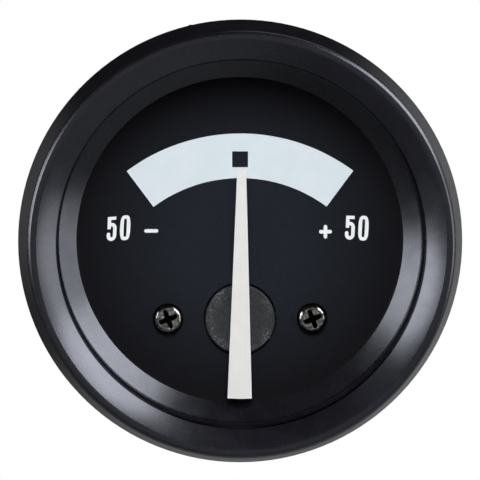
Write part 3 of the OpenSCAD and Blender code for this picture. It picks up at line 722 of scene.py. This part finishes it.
def thread(bm, axis, start, end, r, pitch, chamfer):
    """A right-hand thread round an axis along Y, with a chamfer at its end."""
    depth = THREAD_DEPTH_RATIO * pitch
    shape = [(0.0, 0.0), (THREAD_CREST, 0.0), (THREAD_ROOT[0], depth), (THREAD_ROOT[1], depth)]
    turns = math.ceil((end - start) / pitch) + 2
    lines = []
    for offset, cut in shape:
        line = []
        for i in range(turns * THREAD_STEPS + 1):
            a = 2 * math.pi * i / THREAD_STEPS
            y = min(max(start + pitch * (i / THREAD_STEPS + offset - 1), start), end)
            radius = min(r - cut, r - chamfer + (end - y))
            x, z = axis[0] + radius * math.cos(a), axis[1] - radius * math.sin(a)
            line.append(bm.verts.new((x, y, z)))
        lines.append(line)
    count = len(lines[0])
    for lower, upper in zip(lines, lines[1:]):
        for i in range(count - 1):
            bm.faces.new((lower[i], lower[i + 1], upper[i + 1], upper[i]))
    for i in range(count - 1 - THREAD_STEPS):
        j = i + THREAD_STEPS
        bm.faces.new((lines[-1][i], lines[-1][i + 1], lines[0][j + 1], lines[0][j]))


def disc_end(bm, axis, y, r):
    """A flat end for a thread."""
    ring = [2 * math.pi * i / THREAD_STEPS for i in range(THREAD_STEPS)]
    spots = [(axis[0] + r * math.cos(a), y, axis[1] - r * math.sin(a)) for a in ring]
    bm.faces.new([bm.verts.new(spot) for spot in spots])


def clamp_studs():
    """Studs with their thread and the flange that is welded to the can."""
    low, high = (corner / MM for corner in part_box("clamp_studs"))
    flange_r, flange_t, edge = high.x, 0.6, 0.15
    bulge = edge * 0.3
    stud_r, chamfer, thread_rise = 2.0, 0.4, 0.9
    # Fillet and neck over the flange: rise, and reach beyond the stud's radius
    fillet = ((0.0, 0.25), (0.1, 0.07), (0.3, -0.05), (1.0, -0.05))
    top = low.y + flange_t
    rows = [
        (low.y, flange_r),
        (top - edge, flange_r),
        (top - bulge, flange_r - bulge),
        (top, flange_r - edge),
    ] + [(top + rise, stud_r + reach) for rise, reach in fillet]

    def build(bm):
        for z in (low.z + flange_r, high.z - flange_r):
            axis = (0.0, z)
            turned(bm, axis, rows, STUD_STEPS)
            thread(bm, axis, top + thread_rise, high.y, stud_r, STUD_PITCH, chamfer)
            disc_end(bm, axis, high.y, stud_r - chamfer)

    thing = mesh_object("threaded_studs", build)
    smooth(thing, THREAD_SMOOTH)
    dress(thing, "zinc_steel", "case", "clamp_studs")


def terminal_posts():
    """Posts with riveted head, collar, thread and plain lead-in."""
    low, high = (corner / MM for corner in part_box("terminal_posts"))
    bar_low, bar_high = (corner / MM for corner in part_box("conductor_bar"))
    liner_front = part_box("inner_insulator")[0].y / MM
    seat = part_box("terminal_insulators")[1].y / MM
    tip_r, tip_l, thread_r, chamfer, thread_chamfer = 2.3, 4.0, 2.5, 0.4, 0.1
    collar_r, collar_t, collar_edge = (high.z - low.z) / 2, 1.5, 0.2
    rivet_r, rivet_edge, spigot_r, shank_r = 2.8, 0.25, 2.0, 3.0
    collar_front = liner_front - collar_t
    tip_front = high.y - tip_l
    # Crown of the rivet: rise, and share of its radius
    crown = ((0.0, 0.5), (0.1, 0.8))
    # How far the body reaches into the thread, and the tip back into it: depth and step in
    core, root = (0.2, 0.45), (0.2, 0.3)
    body = [(low.y + rise, rivet_r * share) for rise, share in crown] + [
        (bar_low.y - rivet_edge, rivet_r),
        (bar_low.y, rivet_r),
        (bar_low.y, spigot_r),
        (bar_high.y, spigot_r),
        (bar_high.y, shank_r),
        (collar_front, shank_r),
        (collar_front, collar_r - collar_edge),
        (collar_front + collar_edge, collar_r),
        (liner_front, collar_r),
        (liner_front, thread_r),
        (seat, thread_r),
        (seat + core[0], thread_r - core[1]),
    ]
    tip = [
        (tip_front - root[0], tip_r - root[1]),
        (tip_front, tip_r),
        (high.y - chamfer, tip_r),
        (high.y, tip_r - chamfer),
    ]

    def build(bm):
        for x in (low.x + collar_r, high.x - collar_r):
            axis = (x, (low.z + high.z) / 2)
            turned(bm, axis, body, POST_STEPS)
            thread(bm, axis, seat, tip_front, thread_r, POST_PITCH, thread_chamfer)
            turned(bm, axis, tip, TIP_STEPS)

    thing = mesh_object("threaded_posts", build)
    smooth(thing, THREAD_SMOOTH)
    dress(thing, "brass", "case", "terminal_posts")


dial_screws()
clamp_studs()
terminal_posts()

for node in NODES.values():
    for slot in node.material_slots:
        slot.material = FINISHES[slot.material.name.split(".")[0]]

# Light that leaves the dial and the ring passes the glass unhindered, which keeps grain off both
NODES["lens"].visible_glossy = False
NODES["lens"].visible_diffuse = False


# Studio
WHITE = (1.0, 1.0, 1.0, 1.0)
# White sides of the background: direction, how it fades in along that direction, and level
WHITE_SIDES = (
    ((0.79, 0.6, -0.1), (0.68, 0.9), 0.33),
    ((0.11, 0.79, -0.61), (0.8, 1.0), 0.2),
    ((-0.615, 0.79, 0.02), (0.92, 1.0), 0.19),
    ((0.42, -0.34, -0.84), (0.6, 1.0), 0.25),
    ((0.25, 0.35, 0.9), (0.93, 1.0), 0.5),
)
# The rest of the room: darker towards the top and back, lighter in front of the dial
DIM_SIDE = (0.0, 0.5, 0.87)
DIM_SPREAD = (-1.0, 0.8)
DIM_LEVELS = (0.11, 0.008)
FRONT_SIDE = (0.0, -1.0, 0.0)
FRONT_SPREAD = (0.5, 1.0)
FRONT_LEVEL = 0.18
# Floor, in metres: its reach and depth, and where it turns into the white background
FLOOR_FRONT = 0.05
FLOOR_HALF = 2.0
FLOOR_DROP = 0.6
FAR_SPREAD = (0.65, 1.0)
FAR_LEVELS = (0.7, 1.0)
# Cards round the dial: clock angle, size and brightness
CARD_LEAN = 72
CARD_DISTANCE = 0.6
CARDS = {"key": (37, 0.45, 6.6), "side": (-2, 0.32, 2.8), "fill": (169, 0.37, 5.6)}
# The softbox that lights the object, above the front
FRONT_CLOCK, FRONT_LEAN = 89, 38


def lamp(name, direction, distance, size, radiance, card=False):
    """A round softbox that looks at the instrument, given by the brightness of its face.

    A card shows in gloss and metal only; the other softbox lights the rest.
    """
    data = bpy.data.lights.new(name, "AREA")
    data.shape = "DISK"
    data.size = size
    data.energy = radiance * math.pi * (math.pi * size * size / 4)
    thing = bpy.data.objects.new(name, data)
    thing.location = Vector(direction).normalized() * distance
    thing.rotation_euler = (-thing.location).to_track_quat("-Z", "Y").to_euler()
    thing.visible_diffuse = not card
    thing.visible_glossy = card
    thing.visible_transmission = False
    bpy.context.scene.collection.objects.link(thing)


def off_axis(clock_deg, lean_deg):
    """A direction that leans off the dial's axis towards an angle counted from three o'clock."""
    clock, lean = math.radians(clock_deg), math.radians(lean_deg)
    return (math.sin(lean) * math.cos(clock), -math.cos(lean), math.sin(lean) * math.sin(clock))


for name, (clock_deg, size, radiance) in CARDS.items():
    lamp(name, off_axis(clock_deg, CARD_LEAN), CARD_DISTANCE, size, radiance, card=True)
lamp("front", off_axis(FRONT_CLOCK, FRONT_LEAN), distance=1.0, size=0.6, radiance=12.3)


class Studio(Nodes):
    """Nodes that world and floor share: who looks, and how white that side of the studio is."""

    def __init__(self, tree):
        super().__init__(tree)
        rays = self.add("LightPath").outputs
        self.seen = rays["Is Camera Ray"]
        self.mirrored = self.larger(rays["Is Glossy Ray"], rays["Is Transmission Ray"])

    def along(self, vector, axis):
        """How far a vector, taken at length 1, runs along an axis."""
        unit = self.vector("NORMALIZE", vector)
        return self.measure("DOT_PRODUCT", unit, Vector(axis).normalized())

    def rising(self, value, ends, levels):
        return self.spread(value, *levels, at=ends, easing="SMOOTHSTEP")

    def white(self, vector):
        """What gloss and glass see of the white sides, most of all on the right."""
        sides = [
            self.rising(self.along(vector, side), ends, (0.0, level))
            for side, ends, level in WHITE_SIDES
        ]
        total = sides[0]
        for side in sides[1:]:
            total = self.total(total, side)
        return self.product(self.mirrored, total)


def studio_world():
    """White to the camera, to gloss and glass on its white sides, and dim elsewhere."""
    world = bpy.data.worlds.new("studio")
    bpy.context.scene.world = world
    world.use_nodes = True
    studio = Studio(world.node_tree)
    background = world.node_tree.nodes["Background"]
    place = studio.add("TexCoord").outputs["Generated"]
    dim = studio.rising(studio.along(place, DIM_SIDE), DIM_SPREAD, DIM_LEVELS)
    front = studio.rising(studio.along(place, FRONT_SIDE), FRONT_SPREAD, (0.0, FRONT_LEVEL))
    shown = studio.larger(studio.seen, studio.white(place))
    strength = studio.larger(shown, studio.total(dim, front))
    studio.link(strength, background.inputs["Strength"])
    background.inputs["Color"].default_value = WHITE


def floor():
    """Pale floor: it takes the shadow, and far off it turns into the white background."""
    level = BEZEL_LOW.z - FLOOR_DROP

    def build(bm):
        near, far = -FLOOR_FRONT, FLOOR_HALF
        corners = ((-FLOOR_HALF, near), (FLOOR_HALF, near), (FLOOR_HALF, far), (-FLOOR_HALF, far))
        bm.faces.new([bm.verts.new((x / MM, y / MM, level / MM)) for x, y in corners])

    thing = mesh_object("floor", build)
    finish = Finish("floor", Roughness=0.8)
    finish.tones(400.0, ("#dedede", "#e6e6e6"))
    studio = Studio(finish.tree)
    white = studio.rising(studio.measure("LENGTH", finish.place), FAR_SPREAD, FAR_LEVELS)
    shown = studio.larger(studio.product(studio.seen, white), studio.white(finish.place))
    finish.shader.inputs["Emission Color"].default_value = WHITE
    studio.link(shown, finish.shader.inputs["Emission Strength"])
    thing.data.materials.append(finish.material)


studio_world()
floor()


def camera():
    """The photograph's view: the bezel's outline falls where the photograph has it."""
    data = bpy.data.cameras.new("camera")
    thing = bpy.data.objects.new("camera", data)
    bpy.context.scene.collection.objects.link(thing)
    metres_per_px = BEZEL_R / OUTLINE_R_PX
    data.sensor_width = SENSOR_MM
    data.lens = SENSOR_MM * CAMERA_DISTANCE / (FRAME_PX * metres_per_px)
    data.clip_start = CLIP_START
    right_px = FRAME_PX / 2 - OUTLINE_CENTRE_PX[0]
    up_px = OUTLINE_CENTRE_PX[1] - FRAME_PX / 2
    aim = Vector((right_px * metres_per_px, OUTLINE_Y, up_px * metres_per_px))
    towards = Vector((
        -math.sin(VIEW_LEFT) * math.cos(VIEW_UP),
        -math.cos(VIEW_LEFT) * math.cos(VIEW_UP),
        math.sin(VIEW_UP),
    ))
    thing.location = aim + towards * CAMERA_DISTANCE
    thing.rotation_euler = (-towards).to_track_quat("-Z", "Y").to_euler()
    bpy.context.scene.camera = thing


camera()
bpy.context.scene.view_settings.view_transform = "Standard"
